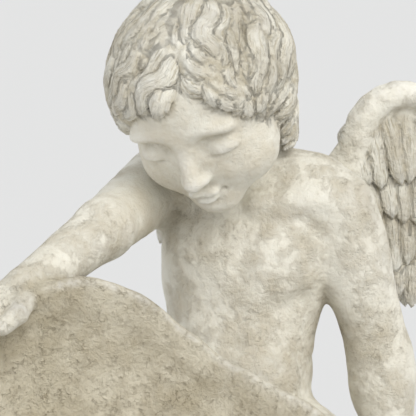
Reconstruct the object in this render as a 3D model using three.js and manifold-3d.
// Cast stone cherub seated on a rock behind a large clam shell, in millimetres, +Z up.
// The front of the statue faces -Y, and the origin is the middle of the plinth's underside.
// The whole work is one casting. Its free form is described as a distance field: a list of
// round limbs, muscles, locks, feathers and rocks, melted into each other. The field is meshed
// on a grid, thinned to few triangles, and joined to the plinth.
import * as THREE from "three";
import { mergeVertices } from "three/addons/utils/BufferGeometryUtils.js";
import Module from "manifold-3d";

// Driving dimensions.
const overallHeight = 505;
const plinthWidth = 400;
const plinthDepth = 468;
const plinthHeight = 30;
const plinthCorner = 150;
const plinthChamfer = 5;
const plinthMiddleY = -92;
const shellWidth = 338;
const shellLength = 286;
const shellDepth = 84;
const shellWall = 13;
const shellLobes = 5;
const lobeHeight = 11;
const fingerThickness = 13;
const featherThickness = 7;
const meshSpacing = 4.2;
const triangleBudget = 9150;

// The pose is laid out in 475ths of the height above the plinth, counted from 30 at the plinth's top.
const share = (overallHeight - plinthHeight) / 475;
const at = (x, y, z) => [x * share, y * share, plinthHeight + (z - 30) * share];

const add = (a, b, t = 1) => [a[0] + b[0] * t, a[1] + b[1] * t, a[2] + b[2] * t];
const sub = (a, b) => add(a, b, -1);
const dot = (a, b) => a[0] * b[0] + a[1] * b[1] + a[2] * b[2];
const cross = (a, b) => [
  a[1] * b[2] - a[2] * b[1],
  a[2] * b[0] - a[0] * b[2],
  a[0] * b[1] - a[1] * b[0],
];
const unit = (a) => add([0, 0, 0], a, 1 / Math.hypot(...a));
const mix = (a, b, t) => add(a, sub(b, a), t);
const clamp = (x, low, high) => Math.min(high, Math.max(low, x));
const radians = (degrees) => (degrees * Math.PI) / 180;

// A smooth union: where two distances differ by less than k the surfaces melt into a fillet.
const melt = (d, e, k) => {
  const h = Math.max(k - Math.abs(d - e), 0) / Math.max(k, 1e-6);
  return Math.min(d, e) - h * h * k * 0.25;
};
const carve = (d, e, k) => -melt(-d, e, k);

// Each form is { centre, reach, blend, distance }: outside its reach it isn't asked for.
const forms = [];
const put = (form, list = forms) => {
  list.push(form);
  return form;
};

// A round limb from a to b whose radius runs from ra to rb.
const limb = (a, b, ra, rb, blend) => {
  const axis = sub(b, a);
  const squared = dot(axis, axis);
  return {
    centre: mix(a, b, 0.5),
    reach: Math.sqrt(squared) / 2 + Math.max(ra, rb),
    blend,
    distance: (p) => {
      const q = sub(p, a);
      const t = clamp(dot(q, axis) / squared, 0, 1);
      return Math.hypot(...add(q, axis, -t)) - (ra + (rb - ra) * t);
    },
  };
};

// An ellipsoid with radii along its side, front and up axes.
const WORLD = [
  [1, 0, 0],
  [0, 1, 0],
  [0, 0, 1],
];
const mass = (centre, radii, axes = WORLD, blend = 0) => ({
  centre,
  reach: Math.max(...radii),
  blend,
  distance: (p) => {
    const q = sub(p, centre);
    const local = axes.map((axis) => dot(q, axis));
    const near = Math.hypot(...local.map((x, i) => x / radii[i]));
    const slope = Math.hypot(...local.map((x, i) => x / (radii[i] * radii[i])));
    return near < 1e-6 ? -Math.min(...radii) : (near * (near - 1)) / slope;
  },
});

// A flat strap from a to b, such as a feather or a lock: half as wide as given, thin along normal, and
// with its far end drawn out to a tip by the number point.
const strap = (a, b, widthA, widthB, thick, normal, blend, point = 1) => {
  const axis = sub(b, a);
  const length = Math.hypot(...axis);
  const along = unit(axis);
  const side = unit(cross(along, normal));
  const up = cross(side, along);
  return {
    centre: mix(a, b, 0.5),
    reach: length / 2 + Math.max(widthA, widthB) * point,
    blend,
    distance: (p) => {
      const q = sub(p, a);
      const t = clamp(dot(q, along) / length, 0, 1);
      const rest = add(q, along, -t * length);
      const width = widthA + (widthB - widthA) * t;
      const past = dot(rest, along) / (width * (t > 0 ? point : 1));
      const flat = Math.hypot(dot(rest, side) / width, past, dot(rest, up) / thick);
      return (flat - 1) * Math.min(width, thick);
    },
  };
};

const curveThrough = (points, count) => {
  const curve = new THREE.CatmullRomCurve3(points.map((p) => new THREE.Vector3(...p)));
  return curve.getPoints(count).map((v) => [v.x, v.y, v.z]);
};

// The trunk leans on its left hand and turns to its right, so its axes are turned too.
const trunkYaw = radians(-22);
const trunkAxes = [
  [Math.cos(trunkYaw), Math.sin(trunkYaw), 0],
  [-Math.sin(trunkYaw), Math.cos(trunkYaw), 0],
  [0, 0, 1],
];

const joints = {
  shoulderLeft: at(99, -8, 329),
  shoulderRight: at(-38, 42, 341),
  elbowLeft: at(129, 2, 219),
  wristLeft: at(142, -4, 122),
  elbowRight: at(-76, -70, 322),
  wristRight: at(-127, -143, 292),
  hipLeft: at(40, 32, 150),
  hipRight: at(-32, 38, 156),
  kneeLeft: at(92, -84, 150),
  kneeRight: at(-66, -84, 186),
  ankleLeft: at(118, -58, 58),
  ankleRight: at(-78, -60, 62),
  neck: at(30, 20, 345),
  head: at(-3, -36, 423),
};

function trunk() {
  const r = (n) => n * share;
  const radii = (a, b, c) => [r(a), r(b), r(c)];
  put(mass(at(28, 15, 275), radii(65, 50, 66), trunkAxes, 0));
  put(mass(at(22, 6, 207), radii(58, 51, 58), trunkAxes, r(22)));
  put(mass(at(-4, 40, 154), radii(73, 54, 52), trunkAxes, r(22)));
  put(mass(at(-26, 66, 138), radii(42, 40, 38), trunkAxes, r(12)));
  put(mass(at(40, 60, 134), radii(42, 40, 38), trunkAxes, r(12)));
  put(limb(at(78, 4, 333), at(-16, 34, 338), r(33), r(31), r(20)));
  put(limb(at(26, 28, 352), at(80, 8, 340), r(26), r(24), r(16)));
  put(mass(at(54, -13, 296), radii(31, 20, 24), trunkAxes, r(22)));
  put(mass(at(0, 4, 298), radii(30, 20, 24), trunkAxes, r(22)));
  put(mass(at(16, -24, 196), radii(44, 26, 34), trunkAxes, r(26)));
}

function arms() {
  const r = (n) => n * share;
  const { shoulderLeft, elbowLeft, wristLeft, shoulderRight, elbowRight, wristRight } = joints;
  put(limb(shoulderLeft, elbowLeft, r(27), r(23.5), r(9)));
  put(limb(elbowLeft, wristLeft, r(24), r(16.5), r(6)));
  put(mass(mix(elbowLeft, wristLeft, 0.22), [r(25), r(24), r(34)], WORLD, r(8)));
  put(limb(shoulderRight, elbowRight, r(28), r(21.5), r(9)));
  put(limb(elbowRight, wristRight, r(22), r(15.5), r(6)));
}

function legs() {
  const r = (n) => n * share;
  const { hipLeft, kneeLeft, ankleLeft, hipRight, kneeRight, ankleRight } = joints;
  put(limb(hipLeft, kneeLeft, r(44), r(31), r(12)));
  put(limb(kneeLeft, ankleLeft, r(30), r(19), r(8)));
  put(mass(add(mix(kneeLeft, ankleLeft, 0.36), at(4, 14, 0)), [r(27), r(26), r(40)], WORLD, r(9)));
  put(limb(hipRight, kneeRight, r(44), r(31), r(12)));
  put(limb(kneeRight, ankleRight, r(30), r(19), r(8)));
  put(mass(add(mix(kneeRight, ankleRight, 0.36), at(-2, 14, 0)), [r(27), r(26), r(40)], WORLD, r(9)));
}

// A foot is a heel, an arched sole and five toes, pointing along forward.
function foot(ankle, forward) {
  const r = (n) => n * share;
  const side = unit(cross(forward, [0, 0, 1]));
  const place = (f, s, z) => {
    const p = add(add(ankle, forward, r(f)), side, r(s));
    return [p[0], p[1], plinthHeight + r(z - 30)];
  };
  put(mass(place(-8, 0, 46), [r(20), r(20), r(17)], WORLD, r(8)));
  put(limb(place(0, 0, 54), place(46, 0, 41), r(18), r(13), r(8)));
  put(strap(place(-6, 0, 42), place(58, 0, 38), r(18), r(25), r(11), [0, 0, 1], r(6)));
  for (let toe = 0; toe < 5; toe++) {
    const s = (toe - 2) * 10.5;
    const reach = 80 - Math.abs(toe - 1) * 4;
    put(limb(place(56, s * 0.9, 38), place(reach, s, 36), r(7.5), r(toe === 0 ? 8.5 : 6.5), r(2.5)));
  }
}

// A hand has a flat palm and five fingers of two bones each, spread from side to side.
function hand(wrist, forward, palmNormal, curl) {
  const r = (n) => n * share;
  const side = unit(cross(forward, palmNormal));
  const thick = (fingerThickness / 2) * share;
  const knuckles = add(wrist, forward, r(40));
  put(strap(add(wrist, forward, r(4)), knuckles, r(16), r(23), r(11), palmNormal, r(7)));
  for (let finger = 0; finger < 4; finger++) {
    const s = (finger - 1.5) * 12.2;
    const root = add(knuckles, side, r(s * 0.92));
    const bent = unit(add(forward, palmNormal, -curl));
    const middle = add(root, bent, r(19));
    const tipDirection = unit(add(bent, palmNormal, -curl * 1.3));
    const tip = add(middle, tipDirection, r(14 - Math.abs(finger - 1.4) * 2));
    put(limb(root, middle, thick * 1.08, thick, r(2.5)));
    put(limb(middle, tip, thick, thick * 0.85, r(2)));
  }
  const thumbRoot = add(add(wrist, forward, r(14)), side, r(-16));
  const thumbMiddle = add(add(thumbRoot, forward, r(16)), side, r(-13));
  put(limb(thumbRoot, thumbMiddle, thick * 1.3, thick * 1.1, r(4)));
  put(limb(thumbMiddle, add(add(thumbMiddle, forward, r(15)), palmNormal, r(-6 * curl)), thick * 1.1, thick * 0.9, r(2)));
}

// The head's own axes: side to its left, face forward and crown up. It bows and turns to its right.
const headBow = radians(37);
const headTurn = radians(18);
const headTilt = radians(11);
const headAxes = (() => {
  const front = [
    -Math.sin(headTurn) * Math.cos(headBow),
    -Math.cos(headTurn) * Math.cos(headBow),
    -Math.sin(headBow),
  ];
  const crown = [
    -Math.sin(headTurn) * Math.sin(headBow),
    -Math.cos(headTurn) * Math.sin(headBow),
    Math.cos(headBow),
  ];
  const left = [Math.cos(headTurn), -Math.sin(headTurn), 0];
  const side = add(add([0, 0, 0], left, Math.cos(headTilt)), crown, Math.sin(headTilt));
  const up = add(add([0, 0, 0], crown, Math.cos(headTilt)), left, -Math.sin(headTilt));
  return [side, front, up];
})();
const headLength = 168 * share;
// A point of the head, in shares of its length to its side, front and crown.
const onHead = (s, f, u) =>
  [s, f, u].reduce((p, n, i) => add(p, headAxes[i], n * headLength), joints.head);

function head(list, hollows) {
  const H = headLength;
  const ball = (s, f, u, rs, rf, ru, blend) =>
    put(mass(onHead(s, f, u), [rs * H, rf * H, ru * H], headAxes, blend * H), list);
  ball(0, -0.03, 0.06, 0.365, 0.42, 0.37, 0);
  ball(0, 0.12, -0.17, 0.285, 0.27, 0.27, 0.12);
  ball(0, 0.29, -0.37, 0.105, 0.09, 0.085, 0.09);
  for (const s of [-1, 1]) {
    ball(s * 0.17, 0.2, -0.2, 0.14, 0.135, 0.14, 0.08);
    ball(s * 0.15, 0.325, -0.055, 0.07, 0.05, 0.045, 0.015);
    ball(s * 0.14, 0.335, 0.045, 0.1, 0.05, 0.03, 0.07);
    ball(s * 0.04, 0.405, -0.175, 0.03, 0.035, 0.028, 0.02);
    ball(s * 0.036, 0.387, -0.262, 0.045, 0.03, 0.018, 0.015);
    put(mass(onHead(s * 0.15, 0.4, -0.02), [0.085 * H, 0.05 * H, 0.045 * H], headAxes, 0.06 * H), hollows);
  }
  put(limb(onHead(0, 0.36, -0.01), onHead(0, 0.445, -0.165), 0.03 * H, 0.042 * H, 0.035 * H), list);
  ball(0, 0.385, -0.3, 0.055, 0.032, 0.022, 0.02);
  put(limb(joints.neck, onHead(0, -0.12, -0.2), 0.19 * H, 0.17 * H, 0.1 * H), list);
}

// Hair. A place on the scalp is a direction s on a unit ball: to the head's left, its face, its crown.
const scalp = { side: 0.368, front: 0.42, up: 0.362, rise: 0.051, back: -0.03 };
const whorl = unit([0.12, -0.72, 0.68]);
const onScalp = (s, proud) => {
  // Below the widest part the hair hangs instead of following the skull in.
  const hang = s[2] < 0 ? (1 - 0.3 * s[2] ** 2) / Math.sqrt(1 - s[2] ** 2) : 1;
  return onHead(
    s[0] * hang * scalp.side * (1 + proud),
    s[1] * hang * scalp.front * (1 + proud) + scalp.back,
    s[2] * scalp.up * (1 + proud) + scalp.rise,
  );
};
const ease = (low, high, x) => {
  const t = clamp((x - low) / (high - low), 0, 1);
  return t * t * (3 - 2 * t);
};
const liftOf = (s) => Math.asin(clamp(s[2], -1, 1)) / radians(1);
const hairline = (s) => {
  const facing = Math.abs(Math.atan2(s[0], s[1])) / radians(1);
  return 26 - 28 * ease(25, 62, facing) - 52 * ease(58, 102, facing);
};
// Hair lies away from the whorl, swirls a little, and parts to both sides above the brow.
const combed = (s) => {
  const away = unit(sub(add([0, 0, 0], s, dot(whorl, s)), whorl));
  const brow = ease(-0.1, 0.7, s[1]);
  const swirl = add([0, 0, 0], cross(s, away), 0.45 * (1 - brow));
  const outward = [s[0] > 0.12 ? 1 : -1, 0, 0];
  const parted = add(outward, s, -dot(outward, s));
  return unit(add(add(away, swirl), parted, 1.1 * brow));
};
// A repeatable number between 0 and 1 for the lock i, of the kind k.
const chance = (i, k) => {
  const n = Math.sin(i * 12.9898 + k * 78.233) * 43758.5453;
  return n - Math.floor(n);
};
const lockCount = 92;
function hair(list) {
  const H = headLength;
  put(mass(onHead(0, -0.07, 0.09), [0.37 * H, 0.4 * H, 0.37 * H], headAxes, 0.02 * H), list);
  put(mass(onHead(0, -0.17, -0.11), [0.335 * H, 0.27 * H, 0.3 * H], headAxes, 0.06 * H), list);
  for (let i = 0; i < lockCount; i++) {
    const z = 1 - (2 * (i + 0.5)) / lockCount;
    const spiral = i * Math.PI * (3 - Math.sqrt(5));
    let s = [Math.sqrt(1 - z * z) * Math.cos(spiral), Math.sqrt(1 - z * z) * Math.sin(spiral), z];
    if (liftOf(s) < hairline(s) + 4) continue;
    const wave = 0.25 + 0.35 * chance(i, 1);
    const curl = chance(i, 2) < 0.5 ? -1 : 1;
    const stride = 0.078 + 0.026 * chance(i, 3);
    const path = [s];
    for (let n = 0; n < 9; n++) {
      const flow = combed(s);
      const bend = wave * Math.sin(6.28 * chance(i, 4) + n * 0.9) + curl * 1.3 * Math.max(0, n / 9 - 0.6);
      const step = add(add([0, 0, 0], flow, Math.cos(bend)), cross(s, flow), Math.sin(bend));
      s = unit(add(s, step, stride));
      if (liftOf(s) < hairline(s) - 5) break;
      path.push(s);
    }
    if (path.length < 4) continue;
    const last = path.length - 1;
    const proud = (t) => -0.05 + 0.085 * Math.sin(Math.PI * (0.12 + 0.76 * t)) + 0.05 * (chance(i, 5) - 0.5);
    const widest = (0.072 + 0.024 * chance(i, 6)) * H;
    const width = (t) => widest * (0.5 + 0.5 * Math.sin(Math.PI * (0.2 + 0.6 * t))) * (1 - 0.6 * t ** 3);
    for (let n = 0; n < last; n++) {
      const [t, u] = [n / last, (n + 1) / last];
      const [a, b] = [onScalp(path[n], proud(t)), onScalp(path[n + 1], proud(u))];
      const outward = unit(sub(a, joints.head));
      put(strap(a, b, width(t), width(u), 0.62 * width(t), outward, 0.01 * H), list);
    }
  }
}

// A wing rises from the shoulder blade, rolls over at the top and falls to a tip. A round edge frames
// its small feathers, and below them the long ones overlap in rows. The direction across points away
// from the body, and front is the side that shows the feathers.
function wing(root, across, front) {
  const r = (n) => n * share;
  const up = [0, 0, 1];
  const place = (a, b, n = 0) => add(add(add(root, across, r(a)), up, r(b)), front, r(n));
  const bow = (a, b) => 6 - ((a - 55) / 50) ** 2 * 7 - Math.max(-b, 0) * 0.05;
  const spot = (a, b, n) => place(a, b, n + bow(a, b));
  const edge = curveThrough(
    [spot(-12, -22, 2), spot(10, 22, 4), spot(22, 58, 5), spot(46, 74, 6), spot(72, 68, 5), spot(92, 46, 3), spot(97, 14, 1)],
    16,
  );
  edge.slice(1).forEach((p, i) => put(limb(edge[i], p, r(11.5 - i * 0.3), r(11.2 - i * 0.3), r(3))));
  put(limb(place(-34, -6, 2), place(6, 12, 2), r(19), r(15), r(10)));
  put(strap(spot(52, 40, -4), spot(62, -44, -5), r(42), r(26), r(7), front, r(6)));
  put(strap(spot(18, 10, -4), spot(48, -36, -5), r(26), r(24), r(7), front, r(6)));
  // Rows of feathers lie like tiles, each row half a feather along from the last, down to the lower outline.
  const bottom = (a) => (a < 66 ? 65 * ((66 - a) / 58) ** 1.3 : 60 * ((a - 66) / 32) ** 2) - 96;
  const thick = (featherThickness / 2) * share;
  const lengths = [24, 28, 32, 38, 52, 64, 66];
  lengths.forEach((length, row) => {
    const top = 58 - row * 15;
    const count = row < 1 ? 4 : 7;
    for (let i = 0; i < count; i++) {
      const a = row < 1 ? 34 + 13 * i : 12 + 13 * i + 6.5 * (row % 2);
      if (a > 96) continue;
      const tip = Math.max(top - length * (0.9 + 0.2 * chance(i, row)), bottom(clamp(a, 8, 98)) + 6);
      if (top - tip < 12) continue;
      const lean = ((66 - a) / 100) * 0.55 * (top - tip);
      for (const face of [1, -1]) {
        const proud = face > 0 ? 8.5 - row * 1.7 : row * 1.1 - 16;
        put(strap(spot(a, top, proud - 1), spot(a + lean, tip, proud + face * 1.5), r(7.2), r(6.6), thick, front, r(1.2), 1.5));
      }
    }
  });
}

// The shell is half a clam: its mouth faces forward, up and to its left, and its hinge stands on the rock.
const shellSpin = radians(26);
const shellLean = radians(50);
const shellAxes = (() => {
  const view = radians(8);
  const up = [0, Math.sin(view), Math.cos(view)];
  const away = [0, Math.cos(view), -Math.sin(view)];
  const slope = add(add([0, 0, 0], [1, 0, 0], Math.sin(shellSpin)), up, Math.cos(shellSpin));
  const long = unit(add(add([0, 0, 0], slope, Math.sin(shellLean)), away, Math.cos(shellLean)));
  const wide = unit(add(add([0, 0, 0], [1, 0, 0], Math.cos(shellSpin)), up, -Math.sin(shellSpin)));
  return { wide, long, mouth: cross(wide, long) };
})();
const shellTop = at(-13, -132, 251);
const shellMiddle = add(shellTop, shellAxes.long, -shellLength / 2);
function shell() {
  const { wide, long, mouth } = shellAxes;
  const halfWidth = shellWidth / 2;
  const halfLength = shellLength / 2;
  return {
    centre: shellMiddle,
    reach: halfWidth + shellDepth,
    blend: 4 * share,
    distance: (p) => {
      const q = sub(p, shellMiddle);
      const x = dot(q, wide) / halfWidth;
      const y = dot(q, long) / halfLength;
      const around = Math.atan2(x, y);
      const taper = 1 - 0.2 * (0.5 - 0.5 * Math.cos(around)) ** 2;
      const wave = Math.cos(around * shellLobes + 2.25) * (0.5 + 0.5 * Math.cos(around));
      const rim = taper * (1 + 0.035 * wave);
      const out = Math.hypot(x, y) / rim;
      const inner = Math.min(out, 1);
      const bowl = -shellDepth * (1 - inner ** 2.4);
      const flute = lobeHeight * wave * inner ** 2;
      const slope = (shellDepth * 2.4 * inner ** 1.4) / halfLength;
      const height = (dot(q, mouth) - bowl - flute) / Math.hypot(1, slope);
      const past = Math.max(out - 1, 0) * halfLength * 0.85;
      return Math.hypot(height, past) - (shellWall / 2) * (1 + 0.4 * ease(0.82, 1, out));
    },
  };
}

// Rounded rocks carry the seat, the planted hand and the shell's hinge.
function rocks() {
  const r = (n) => n * share;
  const stones = [
    [6, 46, 56, 100, 70, 58],
    [-60, 20, 46, 66, 60, 44],
    [86, 34, 46, 78, 66, 44],
    [140, -14, 38, 46, 48, 40],
    [-96, -150, 40, 74, 70, 62],
    [-40, -90, 34, 76, 60, 46],
    [30, -60, 34, 60, 70, 36],
    [10, 100, 40, 80, 40, 40],
  ];
  for (const [x, y, z, a, b, c] of stones) put(mass(at(x, y, z), [r(a), r(b), r(c)], WORLD, r(10)));
  // The stone under the hinge reaches from the plinth to the shell's back.
  const hinge = add(add(shellMiddle, shellAxes.long, -shellLength * 0.3), shellAxes.mouth, -shellDepth * 0.7);
  const height = hinge[2] + r(14) - plinthHeight;
  put(mass([hinge[0], hinge[1], plinthHeight], [r(62), r(64), height], WORLD, r(10)));
}

trunk();
arms();
legs();
foot(joints.ankleLeft, unit([0.2, -1, 0]));
foot(joints.ankleRight, unit([-0.35, -1, 0]));
hand(joints.wristLeft, unit([0.35, -0.45, -0.85]), unit([0.5, -0.5, 0.5]), 0.35);
hand(joints.wristRight, unit([-0.72, -0.55, -0.32]), unit([-0.25, -0.3, 0.9]), 0.55);
wing(at(98, 62, 331), unit([0.955, 0.296, 0]), unit([0.292, -0.94, 0.14]));
wing(at(8, 92, 331), unit([-0.484, 0.875, 0]), unit([-0.866, -0.479, 0.14]));
rocks();
put(shell());
const headForms = [];
const eyeHollows = [];
head(headForms, eyeHollows);
const hairForms = [];
hair(hairForms);

// The field at a point, over the forms that matter there. The skin is cut flat inside the plinth.
const meltAll = (list, p, start) => {
  let d = start;
  for (const form of list) d = melt(d, form.distance(p), form.blend);
  return d;
};
const field = (p, near) => {
  const body = meltAll(near.forms, p, Infinity);
  let skull = meltAll(near.headForms, p, Infinity);
  for (const hollow of near.eyeHollows) skull = carve(skull, hollow.distance(p), hollow.blend);
  const tresses = meltAll(near.hairForms, p, skull);
  return Math.max(melt(body, tresses, 5 * share), plinthHeight / 2 - p[2]);
};
const everything = { forms, headForms, eyeHollows, hairForms };
// The forms that come within reach of p.
const inReach = (near, p, reach) =>
  Object.fromEntries(
    Object.entries(near).map(([name, list]) => [
      name,
      list.filter((form) => {
        const limit = reach + form.blend;
        const apart = Math.hypot(p[0] - form.centre[0], p[1] - form.centre[1], p[2] - form.centre[2]);
        return apart < limit + form.reach && form.distance(p) < limit;
      }),
    ]),
  );

// Meshes the field on a grid: one vertex in each cell that the surface crosses, at the mean of the
// crossings of its edges, and one quad round each grid edge that crosses the surface. Blocks of the
// grid are halved down to six cells, and only those near the surface are worked out in full.
function meshField(low, high, step) {
  const whole = 48;
  const size = low.map((n, i) => Math.ceil((high[i] - n) / step / whole) * whole);
  const [nx, ny, nz] = size;
  const values = new Float32Array(nx * ny * nz).fill(Infinity);
  const index = (i, j, k) => (k * ny + j) * nx + i;
  const point = (i, j, k) => [low[0] + i * step, low[1] + j * step, low[2] + k * step];
  const visit = (i, j, k, span, write) => {
    for (let c = k; c < k + span; c++)
      for (let b = j; b < j + span; b++)
        for (let a = i; a < i + span; a++) values[index(a, b, c)] = write(a, b, c);
  };
  const explore = (i, j, k, span, near) => {
    const centre = point(i + span / 2, j + span / 2, k + span / 2);
    const middle = field(centre, near);
    const within = span * step * 0.87;
    if (Math.abs(middle) > 1.3 * within) return visit(i, j, k, span, () => middle);
    const kept = inReach(near, centre, within + 2 * step + 3);
    if (span <= 6) return visit(i, j, k, span, (a, b, c) => field(point(a, b, c), kept));
    const half = span / 2;
    for (let n = 0; n < 8; n++) explore(i + half * (n & 1), j + half * ((n >> 1) & 1), k + half * (n >> 2), half, kept);
  };
  for (let k = 0; k < nz; k += whole)
    for (let j = 0; j < ny; j += whole) for (let i = 0; i < nx; i += whole) explore(i, j, k, whole, everything);
  const steps = [1, nx, nx * ny];
  untangle(values, steps, size);
  const vertexOf = new Int32Array(nx * ny * nz).fill(-1);
  const vertices = [];
  const corners = [0, 1, 2, 3, 4, 5, 6, 7].map((c) => [c & 1, (c >> 1) & 1, c >> 2]);
  const edges = corners.flatMap((a, i) =>
    corners
      .slice(i + 1)
      .filter((b) => Math.abs(a[0] - b[0]) + Math.abs(a[1] - b[1]) + Math.abs(a[2] - b[2]) === 1)
      .map((b) => [a, b]),
  );
  for (let k = 0; k < nz - 1; k++)
    for (let j = 0; j < ny - 1; j++)
      for (let i = 0; i < nx - 1; i++) {
        const here = index(i, j, k);
        if (Math.abs(values[here]) > 3 * step) continue;
        const sum = [0, 0, 0];
        let count = 0;
        for (const [a, b] of edges) {
          const va = values[here + a[0] + a[1] * nx + a[2] * nx * ny];
          const vb = values[here + b[0] + b[1] * nx + b[2] * nx * ny];
          if (va < 0 === vb < 0) continue;
          const t = va / (va - vb);
          for (let n = 0; n < 3; n++) sum[n] += a[n] + (b[n] - a[n]) * t;
          count++;
        }
        if (!count) continue;
        vertexOf[here] = vertices.length;
        vertices.push([i, j, k].map((n, axis) => low[axis] + (n + sum[axis] / count) * step));
      }
  const triangles = [];
  for (let k = 1; k < nz - 1; k++)
    for (let j = 1; j < ny - 1; j++)
      for (let i = 1; i < nx - 1; i++)
        for (let axis = 0; axis < 3; axis++) {
          const here = index(i, j, k);
          const inside = values[here] < 0;
          if (inside === values[here + steps[axis]] < 0) continue;
          const u = steps[(axis + 1) % 3];
          const v = steps[(axis + 2) % 3];
          const quad = [here - u - v, here - v, here, here - u].map((n) => vertexOf[n]);
          if (!inside) quad.reverse();
          triangles.push([quad[0], quad[1], quad[2]], [quad[0], quad[2], quad[3]]);
        }
  return { vertices, triangles };
}

// A grid square whose two diagonals lie on opposite sides of the surface would join four faces in
// one edge. Its outer corner nearest the surface is taken inside, until no such square is left.
function untangle(values, steps, [nx, ny, nz]) {
  for (let pass = 0, changed = 1; changed && pass < 60; pass++) {
    changed = 0;
    for (let k = 1; k < nz - 2; k++)
      for (let j = 1; j < ny - 2; j++)
        for (let i = 1; i < nx - 2; i++) {
          const here = (k * ny + j) * nx + i;
          for (let axis = 0; axis < 3; axis++) {
            const u = steps[axis];
            const v = steps[(axis + 1) % 3];
            const inside = values[here] < 0;
            if (inside === values[here + u] < 0 || inside !== values[here + u + v] < 0) continue;
            if (inside === values[here + v] < 0) continue;
            const [first, second] = inside ? [here + u, here + v] : [here, here + u + v];
            values[values[first] < values[second] ? first : second] = -0.01;
            changed++;
          }
        }
  }
}

// Keeps the largest connected skin, which drops sealed pockets and stray crumbs.
function outerSkin({ vertices, triangles }) {
  const parent = vertices.map((_, i) => i);
  const find = (v) => {
    while (parent[v] !== v) v = parent[v] = parent[parent[v]];
    return v;
  };
  for (const [a, b, c] of triangles) parent[find(a)] = parent[find(b)] = find(c);
  const counts = new Map();
  for (const [a] of triangles) counts.set(find(a), (counts.get(find(a)) ?? 0) + 1);
  const [most] = [...counts].sort((a, b) => b[1] - a[1])[0];
  return { vertices, triangles: triangles.filter(([a]) => find(a) === most) };
}

// Thins a closed mesh to a number of triangles: the edge whose loss moves the surface least goes first.
function thin({ vertices, triangles }, target) {
  const quadrics = vertices.map(() => new Float64Array(10));
  const around = vertices.map(() => new Set());
  const normalOf = (a, b, c) => cross(sub(b, a), sub(c, a));
  triangles.forEach((t, f) => {
    const [a, b, c] = t.map((v) => vertices[v]);
    const n = normalOf(a, b, c);
    const area = Math.hypot(...n) || 1e-12;
    const [x, y, z] = n.map((m) => m / area);
    const w = -dot([x, y, z], a);
    const q = [x * x, x * y, x * z, x * w, y * y, y * z, y * w, z * z, z * w, w * w];
    for (const v of t) {
      q.forEach((m, i) => (quadrics[v][i] += m * area));
      around[v].add(f);
    }
  });
  const costAt = (q, [x, y, z]) =>
    q[0] * x * x + 2 * q[1] * x * y + 2 * q[2] * x * z + 2 * q[3] * x + q[4] * y * y + 2 * q[5] * y * z +
    2 * q[6] * y + q[7] * z * z + 2 * q[8] * z + q[9];
  const stamp = new Uint32Array(vertices.length);
  const best = (u, v) => {
    const q = quadrics[u].map((m, i) => m + quadrics[v][i]);
    const middle = mix(vertices[u], vertices[v], 0.5);
    const matrix = new THREE.Matrix3().set(q[0], q[1], q[2], q[1], q[4], q[5], q[2], q[5], q[7]);
    const trace = q[0] + q[4] + q[7];
    const options = [middle, vertices[u], vertices[v]];
    if (Math.abs(matrix.determinant()) > 1e-4 * trace ** 3) {
      const solved = new THREE.Vector3(-q[3], -q[6], -q[8]).applyMatrix3(matrix.invert());
      const p = [solved.x, solved.y, solved.z];
      if (Math.hypot(...sub(p, middle)) < 2 * Math.hypot(...sub(vertices[u], vertices[v]))) options.push(p);
    }
    const costs = options.map((p) => costAt(q, p));
    const least = costs.indexOf(Math.min(...costs));
    return { u, v, at: options[least], cost: Math.max(costs[least], 0), mark: [stamp[u], stamp[v]] };
  };
  const heap = [];
  const push = (item) => {
    let i = heap.push(item) - 1;
    while (i > 0) {
      const parent = (i - 1) >> 1;
      if (heap[parent].cost <= item.cost) break;
      heap[i] = heap[parent];
      i = parent;
    }
    heap[i] = item;
  };
  const pop = () => {
    const top = heap[0];
    const last = heap.pop();
    if (!heap.length) return top;
    let i = 0;
    for (;;) {
      let child = 2 * i + 1;
      if (child >= heap.length) break;
      if (child + 1 < heap.length && heap[child + 1].cost < heap[child].cost) child++;
      if (heap[child].cost >= last.cost) break;
      heap[i] = heap[child];
      i = child;
    }
    heap[i] = last;
    return top;
  };
  const neighbours = (v) => {
    const found = new Set();
    for (const f of around[v]) for (const n of triangles[f]) if (n !== v) found.add(n);
    return found;
  };
  triangles.forEach((t) => t.forEach((u, i) => u < t[(i + 1) % 3] && push(best(u, t[(i + 1) % 3]))));
  let left = triangles.length;
  while (left > target && heap.length) {
    const { u, v, at: place, mark } = pop();
    if (mark[0] !== stamp[u] || mark[1] !== stamp[v] || !around[u].size || !around[v].size) continue;
    const nearV = neighbours(v);
    const shared = [...neighbours(u)].filter((n) => nearV.has(n));
    if (shared.length !== 2) continue;
    const flips = [u, v].some((end) =>
      [...around[end]].some((f) => {
        const t = triangles[f];
        if (t.includes(u) && t.includes(v)) return false;
        const before = unit(normalOf(...t.map((n) => vertices[n])));
        const after = normalOf(...t.map((n) => (n === end ? place : vertices[n])));
        return dot(before, after) < 0.25 * Math.hypot(...after) || Math.hypot(...after) < 0.02;
      }),
    );
    if (flips) continue;
    vertices[u] = place;
    quadrics[u] = quadrics[u].map((m, i) => m + quadrics[v][i]);
    for (const f of around[v]) {
      const t = triangles[f];
      if (t.includes(u)) {
        t.forEach((n) => around[n].delete(f));
        triangles[f] = null;
        left--;
      } else {
        t[t.indexOf(v)] = u;
        around[u].add(f);
      }
    }
    around[v].clear();
    stamp[u]++;
    for (const n of neighbours(u)) push(best(u, n));
  }
  return { vertices, triangles: triangles.filter(Boolean) };
}

function geometryOf({ vertices, triangles }) {
  const geometry = new THREE.BufferGeometry();
  geometry.setAttribute("position", new THREE.Float32BufferAttribute(vertices.flat(), 3));
  geometry.setIndex(triangles.flat());
  return geometry;
}

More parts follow.
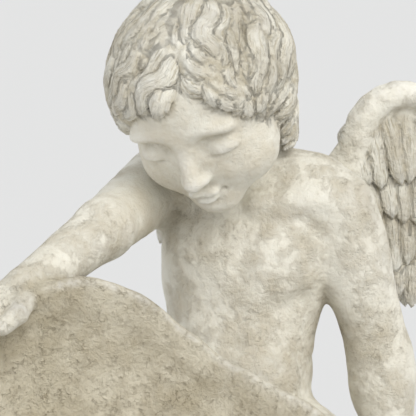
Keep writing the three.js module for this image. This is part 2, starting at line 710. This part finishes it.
// A low plinth with rounded corners and a chamfered top edge.
function plinth() {
  const outline = new THREE.Shape();
  const x = plinthWidth / 2 - plinthChamfer;
  const y = plinthDepth / 2 - plinthChamfer;
  const r = plinthCorner;
  outline.moveTo(-x + r, -y);
  outline.lineTo(x - r, -y);
  outline.absarc(x - r, -y + r, r, -Math.PI / 2, 0);
  outline.absarc(x - r, y - r, r, 0, Math.PI / 2);
  outline.absarc(-x + r, y - r, r, Math.PI / 2, Math.PI);
  outline.absarc(-x + r, -y + r, r, Math.PI, 1.5 * Math.PI);
  const geometry = new THREE.ExtrudeGeometry(outline, {
    depth: plinthHeight - 2 * plinthChamfer,
    bevelThickness: plinthChamfer,
    bevelSize: plinthChamfer,
    bevelSegments: 1,
    curveSegments: 8,
  });
  return geometry.translate(0, plinthMiddleY, plinthChamfer);
}

const wasm = await Module();
wasm.setup();
const solidOf = (geometry) => {
  const bare = new THREE.BufferGeometry().setAttribute("position", geometry.getAttribute("position"));
  bare.setIndex(geometry.index);
  const merged = mergeVertices(bare, 1e-3);
  return new wasm.Manifold(
    new wasm.Mesh({ numProp: 3, vertProperties: merged.attributes.position.array, triVerts: new Uint32Array(merged.index.array) }),
  );
};

// The grid covers every form, down to the middle of the plinth.
const all = [...forms, ...headForms, ...hairForms];
const low = [0, 1, 2].map((n) => Math.min(...all.map((form) => form.centre[n] - form.reach)) - 4 * meshSpacing);
const high = [0, 1, 2].map((n) => Math.max(...all.map((form) => form.centre[n] + form.reach)) + 4 * meshSpacing);
low[2] = plinthHeight / 2 - 4 * meshSpacing;
const cast = thin(outerSkin(meshField(low, high, meshSpacing)), triangleBudget);
const statue = solidOf(geometryOf(cast)).add(solidOf(plinth()));
const { vertProperties, triVerts, numProp } = statue.getMesh();
const rowsOf = (array, length) => Array.from({ length: array.length / length }, (_, i) => [...array.slice(i * length, i * length + 3)]);
const shape = geometryOf(outerSkin({ vertices: rowsOf(vertProperties, numProp), triangles: rowsOf(triVerts, 3) }));
shape.computeVertexNormals();

const stone = new THREE.MeshStandardMaterial({ color: 0xd6d1c0, roughness: 0.9, metalness: 0 });
const cherub = new THREE.Mesh(shape, stone);
cherub.name = "cherub_with_shell";
const group = new THREE.Group();
group.add(cherub);
export default group;
